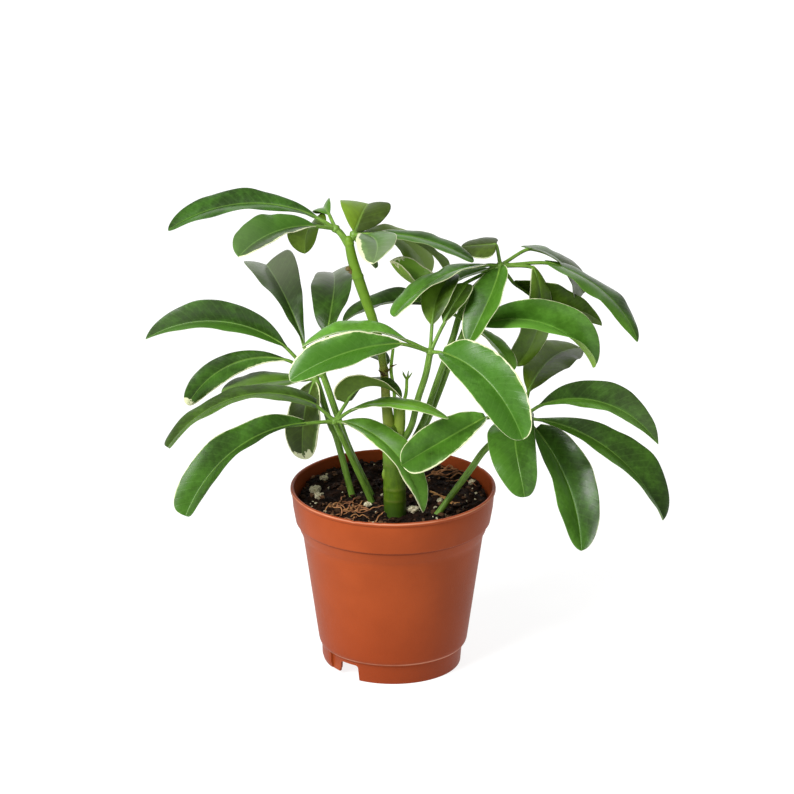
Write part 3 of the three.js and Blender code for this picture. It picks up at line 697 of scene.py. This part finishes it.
LEAVES["leaf_right_lower"] = {
    "hub": (65.6, -8, 135.6),
    "petiole": [(12, -18, 72), (22.5, -16, 86), (39, -13, 109), (48, -11, 121)],
    "leaflets": [
        ((18, 33, 10, 70, 69, -44, 23, 37, 35, 1, 1.05, -13, -16), (0.16, 0.71, 0.15, 0.1, 0.2, 0.12)),
        ((349, 4, 3.3, 90.5, 65, -9, 29, 44, 29, 0.6, 1.4, -47, -6), (0.2, 0.45, 0.2, 0.1, 0.2)),
        ((321, -24, 9.3, 70.5, 13, -48, 31, 17, 42, 0.45, 0.45, -21, -14), (0.14, 0.63, 0.3, 0.15, 0.1)),
        ((255, 3, 7, 49, 78, 46, 28, 19, 24, 0.45, 0.25, 17), (0.22, 0.4, 0.2, 0.2, 0.1)),
        ((206, 11, 21.2, 53, -4, 13, 23, -25, 31, 0.25, 0.45, -38, -30), (0.33, 0.68, 0.9, 0.45, 0.1)),
        ((73, 43, 15.5, 66, 38, -17, 22.5, 8, 8, 0.7, 0.8, 15, -23), (0.5, 0.2, 0.15, 0.15, 1)),
    ],
}
LEAVES["leaf_back"] = {
    "hub": (-36.1, 13, 151.5),
    "petiole": [(-5, 8, 70), (-10, 7, 85), (-22, 8, 112), (-28, 9, 129), (-34.5, 12, 148)],
    "leaflets": [
        ((75, 61, 21.2, 54, 73, 23, 23.5, -23, 19, 0.45, 0.55, 14, -7), (0.15, 0.25, 0.1, 0.1, 0.2, 0.6)),
        ((13, 48, 7, 33, 95, -31, 15, 5, 12), (0.12, 0.12, 0.15, 0.15, 0.3)),
        ((79, 21, 5.5, 51, 84, 3, 17, 0, 12), (0.2, 0.2, 0.15, 0.15, 0.3)),
    ],
}


def whole_leaf(name, leaf):
    shape = Shape()
    stops = [*leaf["petiole"], leaf["hub"]]
    route = [[*stop, PETIOLE_RADIUS] for stop in stops]
    route[0][3] *= 1.12
    tube(shape, curve(route, 8), 16, 1)
    lump(shape, leaf["hub"], (HUB_RADIUS * 0.95,) * 3, 1, 0.12, 3)
    for row, look in leaf["leaflets"]:
        leaflet = {**USUAL, **dict(zip(FIELDS, row))}
        stalk(shape, leaf["hub"], leaflet)
        blade(shape, leaf["hub"], leaflet, {**dict.fromkeys(LOOK, 0), **dict(zip(LOOK, look))})
    seated(shape.build(name + "_foliage", [LEAFLET, STALK]), "foliage", name)


# ------------------------ the stem
# Each stop of a route is (x, y, z, radius).
TRUNK = [(1, -17, 68, 5.4), (1, -15.5, 90, 5.7), (0.5, -14, 112, 5.6), (0, -12.5, 127, 5.4),
         (0, -12.3, 131, 4)]
LEADER = [(-0.5, -13, 121, 3.2), (-2, -12, 133, 3.1), (-3.5, -11.5, 146, 2.5),
          (-4.5, -10, 161, 2.1), (-7, -8, 177, 2.2), (-10.5, -6, 189, 2.4), (-16.5, -3, 206, 2.8),
          (-20.5, -1.5, 219, 2.6), (-22.5, 0, 229, 2.2)]
SIDE_STEM = [(0.5, -13, 121, 3.4), (3, -12.5, 132, 3.1), (4, -13, 144, 2.3)]
YOUNG_SHOOT = [(4, -13, 142, 1.1), (6.5, -14, 151, 0.9), (7, -14.5, 159.5, 0.8)]
THIN_SHOOT = [(1.5, -12, 134, 1.1), (0.5, -12, 152, 0.9), (-1, -11.5, 163, 0.9), (0, -11, 174, 0.8)]
CROWN = {"count": 5, "spread": 2.6, "rise": 3.2, "radii": (0.55, 0.45, 0.22)}
# Rings that old leaves left on the trunk and on the leader: height and rise.
SCARS = ((94, 0.14), (100, 0.22), (113, 0.12))
NODES = ((133, 0.2), (146.5, 0.2), (163, 0.4), (190, 0.1), (210, 0.35), (227, 0.3))
# Buds: centre and half-sizes.
SIDE_BUD = ((-4.3, -16.0, 108), (1.3, 1.3, 3.2))
TOP_BUD = ((-22.6, -3.0, 214.6), (1.5, 1.2, 1.3))
# Brown bracts: foot, the way it points, the way it faces, length, width, how brown.
BRACTS = (
    ((-4.6, -12.4, 160), (-0.5, -0.3, 1), (-0.6, -1, 0.1), 5, 3.6, 1.0),
    ((-3.4, -12.2, 162), (0.6, -0.3, 1), (0.6, -1, 0.1), 4, 2.6, 0.8),
    ((-1.0, -12.4, 165), (0.9, -0.4, 0.8), (0.6, -1, 0.1), 3.6, 1.6, 1.0),
    ((-21.6, -3.2, 212), (0.1, -0.3, 1), (-0.6, -1, 0.3), 3.4, 3, 1.0),
)


def bract(shape, foot, way, out, long, wide, brown):
    """A small pointed scale leaf that clasps the stem."""
    foot, way, out = (np.array(v, float) for v in (foot, way, out))
    way, out = way / np.linalg.norm(way), out / np.linalg.norm(out)
    side = np.cross(way, out)
    rows, columns, thick = 9, 5, 0.3
    points = []
    for lift in (0.0, thick):
        for s in np.linspace(0, 1, rows):
            half = wide / 2 * (1 - s) ** 0.7 + 0.05
            for t in np.linspace(-1, 1, columns):
                points.append(foot + way * long * s + side * half * t
                              + out * (0.25 * long * s ** 2 - 0.35 * half * t ** 2 + lift))
    shape.add(points, sheet_faces(rows, columns), brown=brown)


def ringed(line, rings):
    """The line with its radius raised at the rings."""
    line = line.copy()
    for height, rise in rings:
        line[:, 3] += rise * np.exp(-((line[:, 2] - height) / 0.7) ** 2)
    return line


def bell(z, middle, wide):
    """1 at the middle, falling to 0 on both sides."""
    return math.exp(-((z - middle) / wide) ** 2)


def trunk_and_leader(shape):
    """The trunk, dark near the soil and pale at its top, and the two stems that leave it."""
    tube(shape, ringed(curve(TRUNK, 40), SCARS), 40)
    for row, (_, _, z) in zip(shape.values, shape.points):
        row["dark"] = max(0.0, min(1.0, (101 - z) / 14))
        row["pale"] = 0.6 * max(0.0, 1 - abs(z - 122) / 12)
        row["brown"] = 0.25 * sum(bell(z, scar + 0.9, 0.5) for scar, _ in SCARS)
    first = len(shape.points)
    tube(shape, ringed(curve(LEADER, 20), NODES), 24, pale=0.4)
    tube(shape, curve(SIDE_STEM, 16), 24, pale=0.85)
    for row, (_, _, z) in zip(shape.values[first:], shape.points[first:]):
        row["tan"] = 0.75 * bell(z, 158, 9) + 0.35 * bell(z, 136, 12)


def crown(shape, x, y, z):
    """The tiny young leaves that spread at the top of the young shoot."""
    foot, middle, tip = CROWN["radii"]
    for i in range(CROWN["count"]):
        turn = 2 * math.pi * i / CROWN["count"]
        out, over = CROWN["spread"] * math.cos(turn), CROWN["spread"] * math.sin(turn)
        route = [(x, y, z - 0.5, foot), (x + out / 2, y + over / 2, z + 1.2, middle),
                 (x + out, y + over, z + CROWN["rise"], tip)]
        tube(shape, curve(route, 6), 10, brown=0.2, pale=1.0)


def whole_stem():
    shape = Shape()
    trunk_and_leader(shape)
    tube(shape, curve(YOUNG_SHOOT, 10), 12, pale=1.0)
    tube(shape, curve(THIN_SHOOT, 10), 12, pale=1.0)
    crown(shape, *YOUNG_SHOOT[-1][:3])
    lump(shape, *SIDE_BUD, 0, 0.2, 3, pale=0.6, brown=0.3)
    for row in BRACTS:
        bract(shape, *row)
    lump(shape, *TOP_BUD, 0, 0.3, 2, brown=0.9)
    seated(shape.build("green_stem", [BARK]), "stem", "stem")


# ------------------------ the pot
# Nicks in the rim's lip: bearing and depth.
NICKS = ((248, 0.5), (254, 0.35), (262, 0.25), (300, 0.2), (30, 0.3))


def near(corner, *offsets):
    """Points of a profile, each given outwards and upwards from one corner."""
    return [(corner[0] + out, corner[1] + up) for out, up in offsets]


def inside(corner):
    """The point on the wall's inside that lies level with a corner of its outside."""
    return (corner[0] - POT_WALL, corner[1])


def pot_profile():
    """[radius, height] round the wall, from the middle of the underside outwards and back."""
    return [
        (0, POT_FLOOR[0]),
        *near(inside((FOOT_TOP[0], POT_FLOOR[0])), (-1.6, 0), (-0.5, -0.5), (-0.3, -1.6)),
        *near(inside((FOOT_RADIUS, 0)), (0, 0.4), (0.2, 0.05), (0.5, 0)),
        *near((FOOT_RADIUS, 0), (-0.6, 0), (-0.2, 0.14), (0, 0.6)),
        *near(FOOT_TOP, (0, -0.25), (0.12, 0.1), (0.45, 0.3)),
        (LEDGE[0] - 1.5, FOOT_TOP[1] + 0.75),
        *near(LEDGE, (-0.95, -1.75), (-0.45, -1.0), (-0.12, -0.1), (0.1, 1.0), (1.95, 14), (3.95, 28),
              (5.95, 42)),
        *near(SHOULDER, (-0.35, -2.6), (-0.02, -0.6), (0.5, 0.9), (1.5, 3.0)),
        *near(COLLAR_EDGE, (-1.5, -1.3), (-1.15, -0.55), (-1.05, -0.1), (-0.8, 0.02), (-0.3, 0.08),
              (-0.05, 0.3), (0.05, 0.8), (1.3, 8)),
        *near((RIM_RADIUS, POT_HEIGHT), (-0.75, -2.7), (-0.8, -2.3), (-0.35, -2.1), (-0.05, -1.7),
              (0, -1.1), (-0.1, -0.5), (-0.4, -0.12), (-0.9, 0), (-1.45, -0.1), (-1.8, -0.45),
              (-1.95, -1.0)),
        inside(COLLAR_EDGE),
        inside(SHOULDER),
        *near(inside((LEDGE[0], POT_FLOOR[1])), (0, 2.4), (-0.6, 0.7), (-1.9, 0)),
        (0, POT_FLOOR[1]),
    ]


def turned(shape, profile, segments, **values):
    """A solid of revolution whose profile starts and ends on the axis. values: one for each stop."""
    rings = profile[1:-1]
    points = [(0, 0, profile[0][1])]
    for r, z in rings:
        for k in range(segments):
            turn = 2 * math.pi * k / segments
            points.append((r * math.cos(turn), r * math.sin(turn), z))
    points.append((0, 0, profile[-1][1]))
    repeats = [1, *[segments] * len(rings), 1]
    values = {key: np.repeat(value, repeats) for key, value in values.items()}
    last = len(points) - 1
    faces = []
    for k in range(segments):
        after = (k + 1) % segments
        faces.append((0, 1 + after, 1 + k))
        top = 1 + (len(rings) - 1) * segments
        faces.append((last, top + k, top + after))
        for i in range(len(rings) - 1):
            a, b = 1 + i * segments, 1 + (i + 1) * segments
            faces.append((a + k, a + after, b + after, b + k))
    shape.add(points, faces, 0, **values)


def carved(piece, operation, tools):
    """Joins the tools to the piece or cuts them out of it, and applies the result."""
    for tool in tools:
        step = piece.modifiers.new("step", "BOOLEAN")
        step.operation, step.solver, step.object = operation, "EXACT", tool
    shaped = bpy.data.meshes.new_from_object(piece.evaluated_get(
        bpy.context.evaluated_depsgraph_get()))
    piece.modifiers.clear()
    piece.data = shaped
    for tool in tools:
        bpy.data.objects.remove(tool)


def at_bearing(bearing, reach, across, z):
    """A point so far out on a bearing, so far across it and so high."""
    turn = math.radians(bearing)
    return (reach * math.cos(turn) - across * math.sin(turn),
            reach * math.sin(turn) + across * math.cos(turn), z)


def lofted(name, rings):
    """A closed body through rings of points."""
    shape = Shape()
    shape.add([point for ring in rings for point in ring], loft_faces(len(rings), len(rings[0])))
    return shape.build(name, [POT_PLASTIC])


def through_foot(name, bearing, section, *reaches):
    """A block of an (across, height) section, between two reaches from the foot's radius."""
    return lofted(name, [[at_bearing(bearing, FOOT_RADIUS + reach, across, z)
                          for across, z in section] for reach in reaches])


def notch_cutter(bearing):
    """A slot through the foot ring with rounded upper corners."""
    corner = 1.6
    half, high = NOTCH["wide"] / 2, NOTCH["high"]
    section = [(-half - 1.5, -3.0), (half + 0.4, -3.0)]
    for side, first in ((half - corner, 0), (corner - half, 90)):
        for turn in np.radians(np.arange(first, first + 91, 15)):
            section.append((side + corner * math.cos(turn), high - corner + corner * math.sin(turn)))
    section += [(-half - 0.25, 4.6), (-half - 1.1, 3.0)]
    return through_foot("notch_cutter", bearing, section, -6, 8)


def lift_cutter(bearing, wide):
    """A low block that shortens the foot ring, with its upper corners cut off."""
    half, high = wide / 2, LEGS["under"]
    section = [(-half, -3.0), (half, -3.0), (half, 2.0), (half - 0.5, high), (0.5 - half, high),
               (-half, 2.0)]
    return through_foot("lift_cutter", bearing, section, -6.4, 5.6)


def drain_cutter(bearing):
    """A round hole through the pot's floor."""
    x, y, _ = at_bearing(bearing, DRAIN["from_axis"], 0, 0)
    sides = 32
    turns = [2 * math.pi * k / sides for k in range(sides)]
    return lofted("drain_cutter", [[(x + DRAIN["radius"] * math.cos(turn),
                                     y + DRAIN["radius"] * math.sin(turn), z) for turn in turns]
                                   for z in (POT_FLOOR[0] - 2, POT_FLOOR[1] + 2)])


def leg(bearing):
    """A part of the wall that reaches down beside the foot ring, with a rounded lower edge."""
    low = LEGS["under"]
    section = [
        (FOOT_RADIUS - POT_WALL, low),
        *near((LEG_RADIUS, low), (-0.7, 0), (-0.25, 0.15), (0, 0.6), (0.75, 3.5)),
        *near(LEDGE, (-1.35, -3.6), (-0.75, -1.6), (-0.5, -1.0)),
        (FOOT_TOP[0] - POT_WALL, POT_FLOOR[1] - 0.5),
    ]
    rings = []
    for share in np.linspace(-1, 1, 15):
        inward = 0.35 * abs(share) ** 10
        rings.append([at_bearing(bearing + share * LEGS["half_turn"], r - inward, 0, z)
                      for r, z in section])
    return lofted("leg", rings)


def worn_lip(points):
    """Lets the rim's lip rise and fall a little and cuts its nicks."""
    for i, (x, y, z) in enumerate(points):
        bearing = math.degrees(math.atan2(y, x)) % 360
        rise = 0.14 * noise.noise(Vector((x * 0.09, y * 0.09, 3.0)))
        rise -= sum(deep * bell(bearing, at, 1.6) for at, deep in NICKS)
        lip = max(0.0, 1 - abs(z - POT_HEIGHT) / 2.2)
        points[i] = (x, y, z + lip * min(rise, 0.12))


def whole_pot():
    shape = Shape()
    profile = pot_profile()
    heights = [z for _, z in profile]
    top = heights.index(max(heights))
    under_collar = (COLLAR_EDGE[1] - 0.7, COLLAR_EDGE[1] + 0.2)
    # Heights of the edges that get a painted highlight.
    edges = (POT_HEIGHT - 0.5, LEDGE[1] - 1.75)
    turned(shape, profile, 144,
           low=[max(0.0, 1 - z / 60) for z in heights],
           # Painted shade on the inside of the wall, darkest towards the soil.
           dirt=[0.0 if i < top + 3 else min(1.0, (97 - z) / 9) for i, z in enumerate(heights)],
           # Painted shade in the crease under the collar.
           crease=[0.6 * (i < top and under_collar[0] < z < under_collar[1])
                   for i, z in enumerate(heights)],
           # Painted highlights along the edges of the lip and the ledge.
           worn=[float(i < top and min(abs(z - edge) for edge in edges) < 0.1)
                 for i, z in enumerate(heights)])
    worn_lip(shape.points)
    piece = shape.build("nursery_pot", [POT_PLASTIC])
    carved(piece, "UNION", [leg(b) for b in LEGS["bearings"]])
    carved(piece, "DIFFERENCE", [lift_cutter(*lift) for lift in LIFTS]
           + [make(b) for b in NOTCH["bearings"] for make in (notch_cutter, drain_cutter)])
    smooth(piece.data, 40)
    seated(piece, "pot_plastic", "pot")


# ------------------------ soil and what lies in it
CLODS = 1500              # crumbs of soil on its surface
SPECKS = 70               # small white specks among them
SPECK_REACH = 47
# Dry roots that lie in two heaps: how many, middle and scatter in x and y, the way they head,
# length, radius, bend at each step, how tan.
ROOT_HEAPS = (
    (26, (-20, 6), (-14, 5), (0, 360), (7, 18), (0.25, 0.5), 42, 0.7),
    (9, (24, 6), (30, 3), (-25, 25), (10, 20), (0.25, 0.45), 22, 0.3),
)
# Two long ones in front: start, way, length, radius, bend, how tan.
LONG_ROOTS = (((17, 11), -48, 26, 0.6, 5, 1.0), ((20, 3), -30, 16, 0.35, 12, 0.8))
# Perlite crumbs: x, y, length, width, height, turn.
PERLITE_LUMPS = (
    (9.8, -14.5, 6.4, 4.4, 4.2, 10),
    (-40, 12, 7.5, 5, 4.6, 60),
    (-35.5, 22, 4.4, 3.6, 3.2, 20),
    (-38.5, 2, 4.6, 3.8, 3.4, 110),
    (-13, -8, 3.8, 3, 2.8, 0),
    (40.5, 19, 4.2, 3.4, 3, 45),
    (24, -3, 3.8, 3, 2.8, 80),
)


def soil_height(x, y):
    return (SOIL_LEVEL + SOIL_SLOPE * y + SOIL_LUMP * math.sin(x * 0.31 + 1) * math.cos(y * 0.27)
            + 0.5 * SOIL_LUMP * math.sin(x * 0.7 - y * 0.53))


def rough_height(x, y):
    """The soil's surface with its clods."""
    here = Vector((x * 0.16, y * 0.16, 0.0))
    clods = 1.3 * noise.noise(here) + 0.7 * noise.noise(here * 2.7) + 0.35 * noise.noise(here * 6.1)
    return soil_height(x, y) + clods


def wall_radius(z):
    """Inside radius of the pot where the soil meets it."""
    share = (z - COLLAR_EDGE[1]) / (POT_HEIGHT - 0.6 - COLLAR_EDGE[1])
    return COLLAR_EDGE[0] - POT_WALL + share * (RIM_RADIUS - 2 - COLLAR_EDGE[0] + POT_WALL) - GAP


def scattered(reach):
    """A random place on a disc about the pot's axis."""
    out, turn = reach * math.sqrt(CHANCE.random()), CHANCE.uniform(0, 2 * math.pi)
    return out * math.cos(turn), out * math.sin(turn)


def whole_soil():
    shape = Shape()
    segments, rings = 150, 56
    outer = wall_radius(SOIL_LEVEL - 3)
    floor = inside((LEDGE[0] - GAP, POT_FLOOR[1] + GAP))
    below = [(0, floor[1]), *near(floor, (-2, 0), (0, 2.5)), *near(inside(SHOULDER), (-GAP, 0.2)),
             *near(inside(COLLAR_EDGE), (-GAP, 0.2)), (outer - 0.2, SOIL_LEVEL - 5)]
    top = [(outer * (1 - (i + 1) / (rings + 1)), SOIL_LEVEL) for i in range(rings)]
    turned(shape, [*below, *top, (0, SOIL_LEVEL)], segments)
    for i, (x, y, z) in enumerate(shape.points):
        if z > SOIL_LEVEL - 1:
            shape.points[i] = (x, y, rough_height(x, y))
    for _ in range(CLODS):
        x, y = scattered(outer * 0.985)
        size = 0.45 + 1.3 * CHANCE.random() ** 2.5
        flat = CHANCE.uniform(0.5, 0.9)
        lump(shape, (x, y, rough_height(x, y) + size * 0.25),
             (size * CHANCE.uniform(0.8, 1.5), size, size * flat), 0, 0.45, 1,
             tan=0.8 * CHANCE.random() ** 7)
    seated(shape.build("potting_soil", [POTTING_MIX], 50), "potting_soil", "soil")


def perlite():
    for i, (x, y, long, wide, high, turn) in enumerate(PERLITE_LUMPS):
        shape = Shape()
        lump(shape, (0, 0, 0), (long / 2, wide / 2, high / 2), 0, 0.35, 4)
        centre = (x, y, soil_height(x, y) + 0.9)
        shape.points = [np.add(centre, at_bearing(turn, *point)) for point in shape.points]
        seated(shape.build(f"perlite_crumb_{i + 1}", [PERLITE]), "perlite", f"perlite_{i + 1}")
    specks = Shape()
    for _ in range(SPECKS):
        x, y = scattered(SPECK_REACH)
        size = CHANCE.uniform(0.35, 0.9)
        lump(specks, (x, y, rough_height(x, y) + size * 0.6), (size, size * 0.8, size * 0.7),
             0, 0.4, 2)
    seated(specks.build("perlite_specks", [PERLITE]), "perlite")


def dry_root(shape, start, way, long, radius, bend, tan):
    """A dry root that wanders over the soil and turns back before the wall."""
    x, y = start
    heading = math.radians(way)
    steps = 7
    route = []
    for i in range(steps + 1):
        lift = 0.7 + 1.6 * math.sin(math.pi * i / steps) * CHANCE.random()
        route.append((x, y, rough_height(x, y) + lift, radius * (1 - 0.06 * i)))
        heading += math.radians(CHANCE.uniform(-bend, bend))
        x += math.cos(heading) * long / steps
        y += math.sin(heading) * long / steps
        over = math.hypot(x, y) / (wall_radius(SOIL_LEVEL) - 2.5)
        if over > 1:
            x, y, heading = x / over, y / over, heading + 1.2
    tube(shape, curve(route, 4), 8, tan=tan)


def roots():
    shape = Shape()
    for count, across, along, way, long, radius, bend, tan in ROOT_HEAPS:
        for _ in range(count):
            start = (CHANCE.gauss(*across), CHANCE.gauss(*along))
            dry_root(shape, start, CHANCE.uniform(*way), CHANCE.uniform(*long),
                     CHANCE.uniform(*radius), bend, tan * CHANCE.random())
    for row in LONG_ROOTS:
        dry_root(shape, *row)
    seated(shape.build("dry_roots", [FIBRE]), "potting_soil")


# ------------------------ the studio
VIEW_RISE = 21.0          # degrees the camera looks down
VIEW_DISTANCE = 4.2       # metres
VIEW_WIDTH = 0.4037       # metres seen across at the plant
VIEW_MIDDLE = (2.0, 0.0, 144.0)
SENSOR = 36
FLOOR_SIZE = 14
# Square lamps: offset from the middle of the view, side in metres, watts.
LAMPS = (
    ((-1.5, -1.5, 1.6), 1.3, 96),
    ((0.2, 2.0, 0.8), 2.0, 14),
    ((-0.5, -1.1, 1.9), 0.45, 14),
)
SKY_LIGHT = 0.35


def camera(target):
    rise = math.radians(VIEW_RISE)
    lens = bpy.data.cameras.new("view")
    lens.sensor_width = SENSOR
    lens.lens = SENSOR * VIEW_DISTANCE / VIEW_WIDTH
    lens.clip_end = 50
    made = bpy.data.objects.new("view", lens)
    made.location = target + VIEW_DISTANCE * Vector((0, -math.cos(rise), math.sin(rise)))
    made.rotation_euler = (math.pi / 2 - rise, 0, 0)
    bpy.context.scene.collection.objects.link(made)
    bpy.context.scene.camera = made


def lamp(target, offset, size, power):
    light = bpy.data.lights.new("softbox", "AREA")
    light.size, light.energy = size, power
    made = bpy.data.objects.new("softbox", light)
    made.location = target + Vector(offset)
    made.rotation_euler = (target - made.location).to_track_quat("-Z", "Y").to_euler()
    bpy.context.scene.collection.objects.link(made)


def studio():
    bpy.ops.mesh.primitive_plane_add(size=FLOOR_SIZE, location=(0, 0, 0))
    floor = bpy.context.object
    floor.name = "studio_floor"
    floor.data.materials.append(floor_finish())
    target = Vector(placed([VIEW_MIDDLE])[0])
    camera(target)
    for row in LAMPS:
        lamp(target, *row)
    world = bpy.data.worlds.new("studio")
    world.use_nodes = True
    sky = world.node_tree.nodes["Background"]
    sky.inputs["Color"].default_value = (1.0, 1.0, 1.0, 1.0)
    sky.inputs["Strength"].default_value = SKY_LIGHT
    bpy.context.scene.world = world
    bpy.context.scene.view_settings.view_transform = "Standard"


studio()
whole_pot()
whole_soil()
perlite()
roots()
whole_stem()
for leaf_name, leaf_parts in LEAVES.items():
    whole_leaf(leaf_name, leaf_parts)
